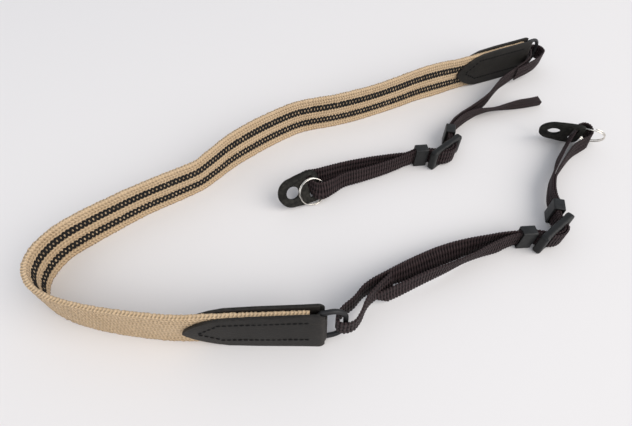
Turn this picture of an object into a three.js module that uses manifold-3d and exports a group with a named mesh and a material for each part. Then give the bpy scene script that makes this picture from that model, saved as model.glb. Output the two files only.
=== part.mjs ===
// A camera shoulder strap lying on its edge on a floor, in millimetres, +Z up.
// A striped cotton webbing ends in two folded leather tabs, and each tab holds a D-ring.
// A narrow nylon webbing runs from each ring through two keepers and a slide buckle to a leather patch
// and a split ring, and back through the same keepers and buckle to its free tail.
import * as THREE from "three";
import { mergeVertices } from "three/addons/utils/BufferGeometryUtils.js";
import Module from "manifold-3d";

const wasm = await Module();
wasm.setup();

// How far the strap spreads on the floor. The tables give places as shares of these two, from the middle.
const layLength = 340;
const layDepth = 240;

// Clearance between pieces that touch on the real strap, and between two layers of one webbing
const fit = 0.3;

const webbingWidth = 25.4;
const webbingThickness = 2.2;

const leatherThickness = 1.6;
const tabLength = 67;
const tabWidth = 26.5;
const tabPoint = 27;
const tabCorner = 4.5;
const foldBulge = 12;
const foldHollow = 8;

const ringWire = 2.4;
const ringHeight = 24.4;
const ringDepth = 12.4;
const ringCorner = 7.5;

const nylonWidth = 11;
const nylonThickness = 1.2;
const cutSlant = 4.5;

const keeperLength = 8;
const keeperWall = 1.2;
const keeperFloor = 1.1;

const buckleLength = 26.4;
const buckleThickness = 3.4;
const buckleBar = 2.8;

const patchThickness = 2;
const patchWidth = 20;
const patchTip = 9;
const patchHole = 8.3;
const patchHoleToSlot = 12;
const patchEnd = 5.4;
const patchCorner = 4.5;
const slotWidth = 3.6;

const splitRingOuter = 17.6;
const splitRingWire = 0.9;

// Sizes that follow from the ones above
const slideGap = fit + 0.05;
const restLift = keeperFloor + slideGap;
const layerStep = nylonThickness + fit;
const keeperWidth = 2 * keeperWall + 2 * nylonThickness + 5 * fit;
const hardwareHeight = nylonWidth + 2 * restLift;
const stitchedGap = webbingThickness / 2 + 2 * fit;
const foldGap = ringWire / 2 + 2 * fit;
const foldRadius = foldGap + leatherThickness;
const crest = buckleThickness / 2 + fit + nylonThickness / 2;
const ringMiddle = tabWidth / 2;
const deg = Math.PI / 180;

// The cotton webbing, from the back tab round the bend to the front tab.
// back is how far its top edge lies behind its bottom edge, as a share of its width.
const webbingRun = [
  { x: 0.18, y: 0.331, back: 0.13 },
  { x: 0.134, y: 0.301, back: 0.1 },
  { x: 0.089, y: 0.265, back: 0.07 },
  { x: 0.044, y: 0.232, back: 0.02 },
  { x: -0.003, y: 0.202, back: 0.03 },
  { x: -0.051, y: 0.178, back: 0.02 },
  { x: -0.096, y: 0.161, back: 0.02 },
  { x: -0.124, y: 0.145, back: 0.05 },
  { x: -0.166, y: 0.105, back: 0.08 },
  { x: -0.206, y: 0.059, back: 0.09 },
  { x: -0.243, y: 0.008, back: 0.06 },
  { x: -0.273, y: -0.046, back: -0.03 },
  { x: -0.291, y: -0.076, back: -0.08 },
  { x: -0.334, y: -0.116, back: -0.04 },
  { x: -0.377, y: -0.155, back: -0.04 },
  { x: -0.418, y: -0.199, back: 0 },
  { x: -0.457, y: -0.245, back: 0.04 },
  { x: -0.483, y: -0.283, back: 0 },
  { x: -0.497, y: -0.325, back: 0 },
  { x: -0.498, y: -0.365, back: 0 },
  { x: -0.484, y: -0.402, back: 0 },
  { x: -0.452, y: -0.432, back: -0.02 },
  { x: -0.404, y: -0.454, back: 0 },
  { x: -0.341, y: -0.47, back: 0.01 },
  { x: -0.29, y: -0.478, back: 0.01 },
];

// Where each tab's fold ends, which way the tab and its ring point, and how far each leans back
// at the fold for each millimetre of height
const frontTab = { x: -0.067, y: -0.4745, heading: 1, lean: 0.12, ringHeading: 11, ringLean: 0.08 };
const backTab = { x: 0.406, y: 0.468, heading: 23.4, lean: 0, ringHeading: 29, ringLean: 0 };

// The middle of each slide buckle and the way its long side points
const frontBuckle = { x: 0.309, y: -0.235, heading: 39 };
const backBuckle = { x: 0.165, y: 0.036, heading: 41 };

// The slot of each leather patch. lean is in degrees, positive where its top lies back.
const frontPatch = { x: 0.423, y: 0.096, heading: -16, lean: -20 };
const backPatch = { x: -0.092, y: -0.0975, heading: 27, lean: 28 };

// The nylon near its ring, from the sewn side round the bow, as shares of ringDepth from the bow's middle:
// out lies along the ring's own direction and side to its left.
const frontLoop = [
  { out: 1.07, side: 0.68, back: 0.1 },
  { out: 0.62, side: 0.1, back: 0.05 },
  { out: 0.33, side: -0.17, back: 0 },
  { out: 0.03, side: -0.24, back: 0 },
  { out: -0.2, side: -0.2, back: 0 },
  { out: -0.34, side: -0.03, back: 0 },
  { out: -0.29, side: 0.19, back: 0 },
  { out: -0.02, side: 0.44, back: 0.05 },
  { out: 0.51, side: 0.74, back: 0.1 },
  { out: 1.06, side: 1.17, back: 0.15 },
];
const backLoop = [
  { out: -1.0, side: -0.95, back: -0.05 },
  { out: -0.25, side: -0.73, back: -0.1 },
  { out: 0.26, side: -0.46, back: -0.1 },
  { out: 0.39, side: -0.03, back: 0 },
  { out: 0.15, side: 0.29, back: 0 },
  { out: -0.24, side: 0.25, back: 0 },
  { out: -0.45, side: -0.06, back: 0 },
  { out: -1.05, side: -0.57, back: -0.05 },
];

// The nylon from its sewn lap to the keeper on the ring's side.
// lift is how far it floats above its height in the keepers, as a share of its width.
const frontMain = [
  { x: 0.029, y: -0.362, lift: 0.41, back: 0.4 },
  { x: 0.054, y: -0.343, lift: 0.32, back: 0.8 },
  { x: 0.084, y: -0.32, lift: 0.23, back: 1.1 },
  { x: 0.112, y: -0.3, lift: 0.14, back: 1 },
  { x: 0.138, y: -0.285, lift: 0.07, back: 0.75 },
  { x: 0.165, y: -0.272, lift: 0.02, back: 0.45 },
  { x: 0.191, y: -0.261, lift: 0, back: 0.2 },
  { x: 0.221, y: -0.25, lift: 0, back: 0.05 },
];
const backMain = [
  { x: 0.365, y: 0.385, lift: 0.18, back: -0.08 },
  { x: 0.346, y: 0.361, lift: 0.18, back: -0.08 },
  { x: 0.324, y: 0.333, lift: 0.16, back: -0.08 },
  { x: 0.304, y: 0.298, lift: 0.12, back: -0.1 },
  { x: 0.284, y: 0.261, lift: 0.09, back: -0.05 },
  { x: 0.259, y: 0.227, lift: 0.05, back: 0 },
  { x: 0.236, y: 0.2, lift: 0.01, back: 0 },
  { x: 0.213, y: 0.174, lift: 0, back: 0 },
  { x: 0.196, y: 0.15, lift: 0, back: 0 },
];

// The free tail, from the same keeper to its cut end
const frontTail = [
  { x: 0.227, y: -0.261, lift: 0, back: 0.1 },
  { x: 0.212, y: -0.271, lift: 0, back: 0.15 },
  { x: 0.187, y: -0.286, lift: 0.02, back: -0.04 },
  { x: 0.157, y: -0.306, lift: 0.04, back: -0.2 },
  { x: 0.119, y: -0.334, lift: 0.13, back: -0.07 },
  { x: 0.081, y: -0.358, lift: 0.13, back: 0.08 },
  { x: 0.043, y: -0.383, lift: 0.03, back: 0.15 },
  { x: 0.009, y: -0.403, lift: -0.1, back: 0.15 },
];
const backTail = [
  { x: 0.203, y: 0.148, lift: 0, back: 0 },
  { x: 0.222, y: 0.174, lift: 0, back: -0.05 },
  { x: 0.246, y: 0.197, lift: -0.02, back: -0.3 },
  { x: 0.271, y: 0.215, lift: -0.07, back: -0.65 },
  { x: 0.294, y: 0.227, lift: -0.08, back: -0.8 },
  { x: 0.318, y: 0.236, lift: -0.09, back: -0.55 },
  { x: 0.345, y: 0.245, lift: -0.1, back: -0.3 },
  { x: 0.374, y: 0.254, lift: -0.1, back: -0.25 },
  { x: 0.403, y: 0.266, lift: -0.1, back: -0.2 },
];

// The pair of strands from the other keeper: first side by side, then apart
const frontPair = [
  { x: 0.332, y: -0.128, lift: 0, side: -0.05, back: 0 },
  { x: 0.339, y: -0.096, lift: 0, side: -0.12, back: 0 },
  { x: 0.351, y: -0.06, lift: 0, side: -0.12, back: 0 },
];
const frontOut = [
  { x: 0.367, y: -0.02, lift: 0, side: -0.1, back: 0 },
  { x: 0.382, y: 0.016, lift: 0.06, side: 0, back: -0.1 },
];
const frontBack = [
  { x: 0.435, y: 0.061, lift: 0.02, side: -0.15, back: 0.12 },
  { x: 0.413, y: 0.04, lift: 0, side: -0.15, back: 0.12 },
  { x: 0.391, y: 0.007, lift: 0, side: -0.12, back: 0.06 },
];
const backPair = [
  { x: 0.0945, y: 0.012, lift: 0, back: 0 },
  { x: 0.0845, y: 0.006, lift: 0, back: 0 },
];
const backOut = [
  { x: 0.073, y: 0.006, lift: 0, back: 0.05 },
  { x: 0.022, y: -0.008, lift: 0, back: 0.1 },
  { x: -0.031, y: -0.031, lift: 0.05, back: 0.2 },
];
const backBack = [
  { x: -0.032, y: -0.069, lift: 0, back: 0.16 },
  { x: 0, y: -0.052, lift: 0, back: 0.12 },
  { x: 0.042, y: -0.028, lift: 0, back: 0.08 },
  { x: 0.071, y: -0.008, lift: 0, back: 0.03 },
];

// The nylon at its patch, as shares of patchWidth from the slot: along lies along the patch and
// behind at right angles to it. The row with both at nought is the slot itself.
// lean is how far the nylon leans as a multiple of the patch's own lean, and side how far to the right.
// drop is how far its middle lies below that of the slot.
const frontTurn = [
  { along: -0.18, behind: -0.5, drop: 0.05, side: 0, lean: 0.7 },
  { along: -0.05, behind: -0.16, drop: 0, side: 0, lean: 1 },
  { along: 0, behind: 0, drop: 0, side: 0, lean: 1 },
  { along: 0.05, behind: 0.16, drop: 0, side: 0, lean: 1 },
  { along: 0.13, behind: 0.3, drop: 0, side: 0, lean: 0.9 },
  { along: 0.28, behind: 0.39, drop: 0, side: 0, lean: 0.6 },
  { along: 0.45, behind: 0.33, drop: 0.02, side: 0, lean: 0.2 },
  { along: 0.55, behind: 0.12, drop: 0.05, side: -0.05, lean: 0 },
  { along: 0.53, behind: -0.1, drop: 0.09, side: -0.1, lean: -0.2 },
];
const backTurn = [
  { along: 0.3, behind: 0.28, drop: 0.02, side: 0, lean: 0.8 },
  { along: 0.11, behind: 0.31, drop: 0, side: 0, lean: 1 },
  { along: -0.03, behind: 0.31, drop: 0, side: 0, lean: 1 },
  { along: -0.09, behind: 0.27, drop: 0, side: 0, lean: 1 },
  { along: -0.073, behind: 0.21, drop: 0, side: 0, lean: 1 },
  { along: 0, behind: 0, drop: 0, side: 0, lean: 1 },
  { along: 0.073, behind: -0.21, drop: 0, side: 0, lean: 1 },
  { along: 0.17, behind: -0.31, drop: 0, side: 0, lean: 1 },
  { along: 0.34, behind: -0.34, drop: 0, side: 0, lean: 0.75 },
  { along: 0.52, behind: -0.31, drop: 0.02, side: 0, lean: 0.5 },
  { along: 0.7, behind: -0.26, drop: 0.06, side: 0, lean: 0.35 },
];

// The nylon through the buckle, as shares of buckleLength along it and of crest in front of it
const innerBow = [
  { along: -0.25, front: -0.6 },
  { along: -0.17, front: 0.35 },
  { along: -0.05, front: 1.12 },
  { along: 0.075, front: 1.3 },
  { along: 0.165, front: 0.85 },
  { along: 0.215, front: -0.1 },
];
const outerBow = [
  { along: -0.315, front: -0.45 },
  { along: -0.235, front: 0.75 },
  { along: -0.09, front: 1.72 },
  { along: 0.085, front: 1.92 },
  { along: 0.215, front: 1.35 },
  { along: 0.275, front: 0.3 },
  { along: 0.315, front: -0.55 },
];

// Where the two keepers sit behind the buckle: shares of buckleLength, and the way that each points
const leftKeeper = { along: -0.56, behind: 0.315, heading: -35 };
const rightKeeper = { along: 0.55, behind: 0.31, heading: 37 };

const cotton = { color: 0xcfb48c, roughness: 0.95, metalness: 0 };
const leather = { color: 0x2e2c2a, roughness: 0.55, metalness: 0 };
const nylon = { color: 0x332b2d, roughness: 0.8, metalness: 0 };
const plastic = { color: 0x2a2b2b, roughness: 0.5, metalness: 0 };
const enamel = { color: 0x222222, roughness: 0.4, metalness: 0.3 };
const nickel = { color: 0xcac8c2, roughness: 0.25, metalness: 1 };

const group = new THREE.Group();

function add(name, geometry, look, parent = group) {
  const mesh = new THREE.Mesh(geometry, new THREE.MeshStandardMaterial(look));
  mesh.name = name;
  parent.add(mesh);
  return mesh;
}

// A closed skin over sections that all have the same number of points
function loft(sections, closed) {
  const count = sections[0].length;
  const triangles = [];
  const last = closed ? sections.length : sections.length - 1;
  for (let i = 0; i < last; i++) {
    const here = i * count;
    const next = ((i + 1) % sections.length) * count;
    for (let j = 0; j < count; j++) {
      const k = (j + 1) % count;
      triangles.push(here + j, here + k, next + k, here + j, next + k, next + j);
    }
  }
  if (!closed) {
    const end = (sections.length - 1) * count;
    for (let j = 1; j < count - 1; j++) {
      triangles.push(0, j + 1, j, end, end + j, end + j + 1);
    }
  }
  const points = sections.flat();
  let volume = 0;
  for (let i = 0; i < triangles.length; i += 3) {
    const [a, b, c] = [0, 1, 2].map((k) => points[triangles[i + k]]);
    volume += a.dot(b.clone().cross(c));
  }
  if (volume < 0) triangles.reverse();
  const geometry = new THREE.BufferGeometry().setFromPoints(points);
  geometry.setIndex(triangles);
  return geometry;
}

// A round wire along a list of points
function wire(points, diameter, sides, closed) {
  const count = points.length;
  const sections = points.map((p, i) => {
    const before = points[closed ? (i + count - 1) % count : Math.max(i - 1, 0)];
    const after = points[closed ? (i + 1) % count : Math.min(i + 1, count - 1)];
    const along = after.clone().sub(before).normalize();
    const across = new THREE.Vector3(0, 1, 0);
    across.addScaledVector(along, -along.y).normalize();
    const third = along.clone().cross(across);
    return Array.from({ length: sides }, (_, k) => {
      const turn = ((k + 0.5) * 2 * Math.PI) / sides;
      const radius = diameter / 2;
      return p
        .clone()
        .addScaledVector(across, radius * Math.cos(turn))
        .addScaledVector(third, radius * Math.sin(turn));
    });
  });
  return loft(sections, closed);
}

// A flat webbing that stands on edge along rows of { x, y, base or middle, tiltX, tiltY } in millimetres.
// base is the height of its lowest corner there, and middle that of its middle line.
// slant moves the last section's top edge back along it, and its bottom edge forward.
function ribbon(rows, width, thickness, longest, slant = 0) {
  const ups = rows.map((r) => new THREE.Vector3(r.tiltX, r.tiltY, 1).normalize());
  const middles = rows.map((r, i) => {
    const corner = (width / 2) * ups[i].z + (thickness / 2) * Math.hypot(ups[i].x, ups[i].y);
    return new THREE.Vector3(r.x, r.y, r.middle ?? r.base + corner);
  });
  const path = new THREE.CatmullRomCurve3(middles, false, "centripetal");
  const upPath = new THREE.CatmullRomCurve3(ups, false, "catmullrom", 0.5);
  const fine = 14 * (rows.length - 1);
  const sections = [];
  let lastAlong = null;
  let lastPoint = null;
  for (let i = 0; i <= fine; i++) {
    const t = i / fine;
    const along = path.getTangent(t);
    const point = path.getPoint(t);
    const end = i === 0 || i === fine;
    const turned = lastAlong ? lastAlong.angleTo(along) : 0;
    const moved = lastPoint ? lastPoint.distanceTo(point) : 0;
    if (!end && turned < 11 * deg && moved < longest) continue;
    lastAlong = along;
    lastPoint = point;
    const up = upPath.getPoint(t);
    up.addScaledVector(along, -up.dot(along)).normalize();
    const out = along.clone().cross(up);
    const shift = i === fine ? slant / 2 : 0;
    const corner = (a, b) =>
      point
        .clone()
        .addScaledVector(up, (a * width) / 2)
        .addScaledVector(out, (b * thickness) / 2)
        .addScaledVector(along, -a * shift);
    sections.push([corner(-1, -1), corner(1, -1), corner(1, 1), corner(-1, 1)]);
  }
  return loft(sections, false);
}

// A table row's place on the floor, with its lift and tilt
function placed(row, lift = 0) {
  return {
    x: row.x * layLength,
    y: row.y * layDepth,
    base: restLift + (row.lift ?? lift) * nylonWidth,
    tiltX: row.side ?? 0,
    tiltY: row.back ?? 0,
  };
}

// A point at (right, left) in a frame at a place with a heading
function fromFrame(frame, right, left) {
  const c = Math.cos(frame.heading * deg);
  const s = Math.sin(frame.heading * deg);
  return {
    x: frame.x * layLength + right * c - left * s,
    y: frame.y * layDepth + right * s + left * c,
  };
}

// Rows moved sideways to their own left
function beside(rows, left) {
  return rows.map((row, i) => {
    const before = rows[Math.max(i - 1, 0)];
    const after = rows[Math.min(i + 1, rows.length - 1)];
    const length = Math.hypot(after.x - before.x, after.y - before.y);
    return {
      ...row,
      x: row.x - (left * (after.y - before.y)) / length,
      y: row.y + (left * (after.x - before.x)) / length,
    };
  });
}

// The tab's fold end, its bar and the middle of its ring's bow, in millimetres on the floor
function ringPlaces(tab) {
  const bar = fromFrame(tab, -foldRadius, 0);
  const c = Math.cos(tab.ringHeading * deg);
  const s = Math.sin(tab.ringHeading * deg);
  return { bar, bow: { x: bar.x + ringDepth * c, y: bar.y + ringDepth * s }, c, s };
}

// A flat outline drawn as a plate of even thickness, with points that fall together dropped
function plate(outline, depth, curveSegments) {
  const trimmed = (path) =>
    path
      .getPoints(curveSegments)
      .filter((p, i, all) => p.distanceTo(all[(i + all.length - 1) % all.length]) > 1e-3);
  const clean = new THREE.Shape(trimmed(outline));
  clean.holes = outline.holes.map((hole) => new THREE.Path(trimmed(hole)));
  return new THREE.ExtrudeGeometry(clean, { depth, bevelEnabled: false });
}

// Half the tab's width at a distance from its fold end
function tabHalf(inset) {
  const round = Math.max(tabCorner - inset, 0);
  const corner = tabCorner - Math.sqrt(tabCorner * tabCorner - round * round);
  const short = Math.max(1 - (tabLength - inset) / tabPoint, 0);
  const point = Math.pow(Math.max(1 - short * short, 0.002), 0.7);
  return (tabWidth / 2 - corner) * point;
}

// A leather strip folded round the ring's bar, with its tip at the origin and its fold end along +X
function tabGeometry(tab) {
  const walls = [1, 0.98, 0.94, 0.88, 0.8, 0.7, 0.5, 0.3].map((share) => share * tabLength);
  walls.push(foldBulge, foldHollow, foldRadius + 1);
  const turns = [1, 0.8, 0.6, 0.4, 0.2, 0, -0.2, -0.4, -0.6, -0.8, -1].map((t) => t * 90 * deg);
  const bar = tabLength - foldRadius;
  const wall = (inset, side) => {
    const bulge = 1 - THREE.MathUtils.smoothstep(inset, foldRadius, foldBulge);
    const gap = stitchedGap + bulge * (foldGap - stitchedGap);
    return { x: tabLength - inset, inner: side * gap, outer: side * (gap + leatherThickness), inset };
  };
  const section = (innerX, innerY, outerX, outerY, inset) => {
    const half = tabHalf(inset);
    return [
      new THREE.Vector3(innerX, innerY, ringMiddle - half),
      new THREE.Vector3(innerX, innerY, ringMiddle + half),
      new THREE.Vector3(outerX, outerY, ringMiddle + half),
      new THREE.Vector3(outerX, outerY, ringMiddle - half),
    ];
  };
  const flat = (w) => section(w.x, w.inner, w.x, w.outer, w.inset);
  const sections = [
    ...walls.map((inset) => flat(wall(inset, 1))),
    ...turns.map((turn) => {
      const middle = foldGap + leatherThickness / 2;
      return section(
        bar + foldGap * Math.cos(turn),
        foldGap * Math.sin(turn),
        bar + foldRadius * Math.cos(turn),
        foldRadius * Math.sin(turn),
        foldRadius - middle * Math.cos(turn),
      );
    }),
    ...[...walls].reverse().map((inset) => flat(wall(inset, -1))),
  ];
  let strip = solidOf(loft(sections, false));
  // The ring's two limbs leave the fold through slits near its corners
  const limb = (ringHeight - ringWire) / 2;
  const slitBottom = limb - ringWire / 2 - fit;
  const slitWidth = 2 * (foldGap + 2 * fit);
  for (const side of [-1, 1]) {
    const slit = new THREE.BoxGeometry(2 * foldRadius, slitWidth, tabWidth);
    slit.translate(tabLength, 0, ringMiddle + side * (slitBottom + tabWidth / 2));
    strip = strip.subtract(solidOf(slit));
  }
  const geometry = geometryOf(strip);
  const position = geometry.attributes.position;
  for (let i = 0; i < position.count; i++) {
    const share = position.getX(i) / tabLength;
    const shift = tab.lean * share * (position.getZ(i) - ringMiddle);
    position.setY(i, position.getY(i) + shift);
  }
  return geometry;
}

function solidOf(geometry) {
  const bare = geometry.clone();
  bare.deleteAttribute("normal");
  bare.deleteAttribute("uv");
  const merged = mergeVertices(bare, 1e-4);
  return new wasm.Manifold(
    new wasm.Mesh({
      numProp: 3,
      vertProperties: merged.attributes.position.array,
      triVerts: new Uint32Array(merged.index.array),
    }),
  );
}

function geometryOf(solid) {
  const mesh = solid.getMesh();
  const geometry = new THREE.BufferGeometry();
  geometry.setAttribute("position", new THREE.BufferAttribute(mesh.vertProperties, 3));
  geometry.setIndex(new THREE.BufferAttribute(mesh.triVerts, 1));
  return geometry;
}

// A D-ring standing up: its bar is at the origin and its bow points along +X
function ringGeometry() {
  const half = (ringHeight - ringWire) / 2;
  const barCorner = ringWire / 2 + fit;
  const outline = new THREE.Shape();
  outline.moveTo(0, 0);
  outline.lineTo(0, half - barCorner);
  outline.absarc(barCorner, half - barCorner, barCorner, Math.PI, Math.PI / 2, true);
  outline.lineTo(ringDepth - ringCorner, half);
  outline.absarc(ringDepth - ringCorner, half - ringCorner, ringCorner, Math.PI / 2, 0, true);
  outline.lineTo(ringDepth, ringCorner - half);
  outline.absarc(ringDepth - ringCorner, ringCorner - half, ringCorner, 0, -Math.PI / 2, true);
  outline.lineTo(barCorner, -half);
  outline.absarc(barCorner, barCorner - half, barCorner, -Math.PI / 2, -Math.PI, true);
  const points = outline.getPoints(5);
  const kept = points.filter((p, i) => i === 0 || p.distanceTo(points[i - 1]) > 1e-3);
  const path = kept.map((p) => new THREE.Vector3(p.x, 0, p.y));
  return wire(path, ringWire, 8, true);
}

// A square tube with two layers of nylon through it, open along X
function keeperGeometry() {
  const half = keeperWidth / 2;
  const top = hardwareHeight;
  const ease = 0.5;
  const outline = new THREE.Shape([
    new THREE.Vector2(-half + ease, 0),
    new THREE.Vector2(half - ease, 0),
    new THREE.Vector2(half, ease),
    new THREE.Vector2(half, top - ease),
    new THREE.Vector2(half - ease, top),
    new THREE.Vector2(-half + ease, top),
    new THREE.Vector2(-half, top - ease),
    new THREE.Vector2(-half, ease),
  ]);
  const inside = half - keeperWall;
  outline.holes.push(
    new THREE.Path([
      new THREE.Vector2(-inside, keeperFloor),
      new THREE.Vector2(-inside, top - keeperFloor),
      new THREE.Vector2(inside, top - keeperFloor),
      new THREE.Vector2(inside, keeperFloor),
    ]),
  );
  const geometry = plate(outline, keeperLength, 1);
  geometry.rotateX(Math.PI / 2);
  geometry.rotateZ(Math.PI / 2);
  geometry.translate(-keeperLength / 2, 0, 0);
  return geometry;
}

// A flat three-bar buckle standing on its long side
function buckleGeometry() {
  const half = buckleLength / 2;
  const top = hardwareHeight;
  const corner = 1.6;
  const outline = new THREE.Shape();
  outline.moveTo(-half + corner, 0);
  outline.lineTo(half - corner, 0);
  outline.absarc(half - corner, corner, corner, -Math.PI / 2, 0, false);
  outline.lineTo(half, top - corner);
  outline.absarc(half - corner, top - corner, corner, 0, Math.PI / 2, false);
  outline.lineTo(-half + corner, top);
  outline.absarc(-half + corner, top - corner, corner, Math.PI / 2, Math.PI, false);
  outline.lineTo(-half, corner);
  outline.absarc(-half + corner, corner, corner, Math.PI, 1.5 * Math.PI, false);
  const blank = plate(outline, buckleThickness, 4);
  blank.rotateX(Math.PI / 2);
  blank.translate(0, buckleThickness / 2, 0);
  let buckle = solidOf(blank);
  const window = (buckleLength - 3 * buckleBar) / 2;
  for (const side of [-1, 1]) {
    const hole = new THREE.BoxGeometry(window, 2 * buckleThickness, top - 2 * keeperFloor);
    hole.translate((side * (window + buckleBar)) / 2, 0, top / 2);
    buckle = buckle.subtract(solidOf(hole));
  }
  return geometryOf(buckle);
}

// A leather patch in the XZ plane with its slot at the origin and its lug hole to the left
function patchGeometry() {
  const half = patchWidth / 2;
  const hole = -patchHoleToSlot;
  const outline = new THREE.Shape();
  outline.moveTo(hole, patchTip);
  outline.absarc(hole, 0, patchTip, Math.PI / 2, 1.5 * Math.PI, false);
  outline.quadraticCurveTo(hole / 2, -half, 0, -half);
  outline.lineTo(patchEnd - patchCorner, -half);
  outline.absarc(patchEnd - patchCorner, patchCorner - half, patchCorner, -Math.PI / 2, 0, false);
  outline.lineTo(patchEnd, half - patchCorner);
  outline.absarc(patchEnd - patchCorner, half - patchCorner, patchCorner, 0, Math.PI / 2, false);
  outline.lineTo(0, half);
  outline.quadraticCurveTo(hole / 2, half, hole, patchTip);
  const lugHole = new THREE.Path();
  lugHole.absarc(hole, 0, patchHole / 2, 0, 2 * Math.PI, true);
  outline.holes.push(lugHole);
  const lean = Math.max(Math.abs(frontPatch.lean), Math.abs(backPatch.lean)) * deg;
  const slotHalf = nylonWidth / 2 / Math.cos(lean) + (patchThickness / 2) * Math.tan(lean) + fit;
  outline.holes.push(
    new THREE.Path([
      new THREE.Vector2(-slotWidth / 2, -slotHalf),
      new THREE.Vector2(-slotWidth / 2, slotHalf),
      new THREE.Vector2(slotWidth / 2, slotHalf),
      new THREE.Vector2(slotWidth / 2, -slotHalf),
    ]),
  );
  const geometry = plate(outline, patchThickness, 9);
  geometry.rotateX(Math.PI / 2);
  geometry.translate(0, patchThickness / 2, 0);
  return geometry;
}

// Two coils of wire around the Y axis. The step between them lies where the second coil has ended.
function splitRingGeometry() {
  const radius = (splitRingOuter - splitRingWire) / 2;
  const step = splitRingWire + fit;
  const points = [];
  for (let turn = 0; turn <= 650; turn += 13) {
    const rise = THREE.MathUtils.smoothstep(turn, 295, 352);
    points.push(
      new THREE.Vector3(
        radius * Math.cos(turn * deg),
        (rise - 0.5) * step,
        radius * Math.sin(turn * deg),
      ),
    );
  }
  return wire(points, splitRingWire, 6, false);
}

// How high the middle of a patch lies when its lower long side rests on the floor
function patchMiddle(patch) {
  const lean = Math.abs(patch.lean) * deg;
  return (patchWidth / 2) * Math.cos(lean) + (patchThickness / 2) * Math.sin(lean);
}

function cottonRows() {
  const start = webbingRun.map((row) => ({ ...placed(row), base: 0 }));
  const ends = [backTab, frontTab].map((tab) =>
    [tabLength, 0.8 * tabLength, 0.4 * tabLength, foldHollow].map((inset) => {
      const back = tab.lean * (1 - inset / tabLength);
      return {
        ...fromFrame(tab, -inset, 0),
        base: 0,
        tiltX: -back * Math.sin(tab.heading * deg),
        tiltY: back * Math.cos(tab.heading * deg),
      };
    }),
  );
  return [...ends[0].reverse(), ...start, ...ends[1]];
}

// The two layers in a keeper, from its entry to its exit as seen along +X of its buckle
function keeperRows(buckle, keeper, layer) {
  const middle = fromFrame(
    buckle,
    keeper.along * buckleLength,
    keeper.behind * buckleLength,
  );
  const heading = (buckle.heading + keeper.heading) * deg;
  const left = (layer * layerStep) / 2;
  return [-0.5, 0, 0.5].map((share) => ({
    x: middle.x + share * keeperLength * Math.cos(heading) - left * Math.sin(heading),
    y: middle.y + share * keeperLength * Math.sin(heading) + left * Math.cos(heading),
    base: restLift,
    tiltX: 0,
    tiltY: 0,
  }));
}

function bowRows(buckle, bow) {
  return bow.map((row) => ({
    ...fromFrame(buckle, row.along * buckleLength, -row.front * crest),
    base: restLift,
    tiltX: 0,
    tiltY: 0,
  }));
}

function turnRows(patch, turn) {
  const middle = patchMiddle(patch);
  const c = Math.cos(patch.heading * deg);
  const s = Math.sin(patch.heading * deg);
  return turn.map((row) => {
    const back = row.lean * Math.tan(patch.lean * deg);
    return {
      ...fromFrame(patch, row.along * patchWidth, row.behind * patchWidth),
      middle: middle - row.drop * patchWidth,
      tiltX: row.side * c - back * s,
      tiltY: row.side * s + back * c,
    };
  });
}

function loopRows(tab, loop, lift) {
  const { bow, c, s } = ringPlaces(tab);
  return loop.map((row) => ({
    x: bow.x + ringDepth * (row.out * c - row.side * s),
    y: bow.y + ringDepth * (row.out * s + row.side * c),
    base: restLift + lift * nylonWidth,
    tiltX: 0,
    tiltY: row.back,
  }));
}

// The keepers on the ring's side and on the lug's side of a buckle
function keepersOf(lead) {
  return lead > 0 ? [leftKeeper, rightKeeper] : [rightKeeper, leftKeeper];
}

// The whole nylon of one end in one list, from its sewn end round to its cut tail.
// lead is 1 where the ring's side is the left keeper of the buckle, and -1 where it is the right one.
function nylonRows({ tab, loop, loopLift, main, lead, buckle, pair, out, turn, patch, back, tail }) {
  const mainRows = main.map((row) => placed(row));
  const lap = beside(mainRows.slice(0, 2), -lead * layerStep)[0];
  const forward = (rows) => (lead > 0 ? rows : [...rows].reverse());
  const backward = (rows) => (lead > 0 ? [...rows].reverse() : rows);
  const [ringKeeper, lugKeeper] = keepersOf(lead);
  const pairRows = pair.map((row) => placed(row));
  const half = layerStep / 2;
  return [
    lap,
    ...loopRows(tab, loop, loopLift),
    ...mainRows,
    ...forward(keeperRows(buckle, ringKeeper, 1)),
    ...forward(bowRows(buckle, innerBow)),
    ...forward(keeperRows(buckle, lugKeeper, 1)),
    ...beside(pairRows, lead * half),
    ...out.map((row) => placed(row)),
    ...turnRows(patch, turn),
    ...back.map((row) => placed(row)),
    ...beside(pairRows, -lead * half).reverse(),
    ...backward(keeperRows(buckle, lugKeeper, -1)),
    ...backward(bowRows(buckle, outerBow)),
    ...backward(keeperRows(buckle, ringKeeper, -1)),
    ...tail.map((row) => placed(row)),
  ];
}

function stand(mesh, place, heading, height = 0) {
  mesh.position.set(place.x, place.y, height);
  mesh.rotation.set(0, 0, heading * deg);
}

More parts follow.
